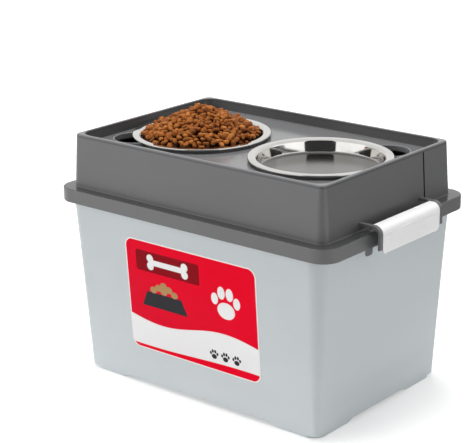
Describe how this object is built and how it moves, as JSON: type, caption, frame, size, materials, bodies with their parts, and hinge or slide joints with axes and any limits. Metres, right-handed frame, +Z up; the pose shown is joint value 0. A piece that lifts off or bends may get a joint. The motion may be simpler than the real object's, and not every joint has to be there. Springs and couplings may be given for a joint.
{
  "type": "elevated pet feeder with storage",
  "caption": "Lidded food storage bin whose tall lid carries two recessed steel bowls at feeding height, closed by a swinging latch at each end.",
  "frame": {"origin": "middle of the footprint, on the surface that the feet stand on", "axes": "+X along the long side towards the right latch, +Y to the back, +Z up"},
  "size_m": [0.6394, 0.4102, 0.4753],
  "materials": {
    "pale_plastic": "satin moulded polypropylene, pale cool grey",
    "grey_plastic": "satin moulded polypropylene, mid grey",
    "seal_rubber": "soft foam rubber",
    "polished_steel": "mirror-polished stainless steel",
    "white_plastic": "smooth white moulded plastic",
    "label_film": "printed gloss film",
    "dry_food": "dry baked pieces"
  },
  "bodies": {
    "bin": {"storage_bin": "pale_plastic", "front_label": "label_film"},
    "lid": {"feeder_lid": "grey_plastic", "lid_seal": "seal_rubber"},
    "left_bowl_body": {"left_bowl": "polished_steel", "kibble_heap": "dry_food"},
    "right_bowl_body": {"right_bowl": "polished_steel"},
    "left_latch_body": {"left_latch": "white_plastic"},
    "right_latch_body": {"right_latch": "white_plastic"}
  },
  "joints": [
    {"name": "lid_lift", "type": "slide", "parent": "bin", "child": "lid", "axis": [0, 0, 1], "range_m": [0, 0.3]},
    {"name": "left_latch_swing", "type": "hinge", "parent": "lid", "child": "left_latch_body", "pos_m": [-0.30002, 0, 0.3545], "axis": [0, 1, 0], "range_deg": [0, 120]},
    {"name": "right_latch_swing", "type": "hinge", "parent": "lid", "child": "right_latch_body", "pos_m": [0.30002, 0, 0.3545], "axis": [0, -1, 0], "range_deg": [0, 120]},
    {"name": "left_bowl_lift", "type": "slide", "parent": "lid", "child": "left_bowl_body", "axis": [0, 0, 1], "range_m": [0, 0.12]},
    {"name": "right_bowl_lift", "type": "slide", "parent": "lid", "child": "right_bowl_body", "axis": [0, 0, 1], "range_m": [0, 0.12]}
  ]
}
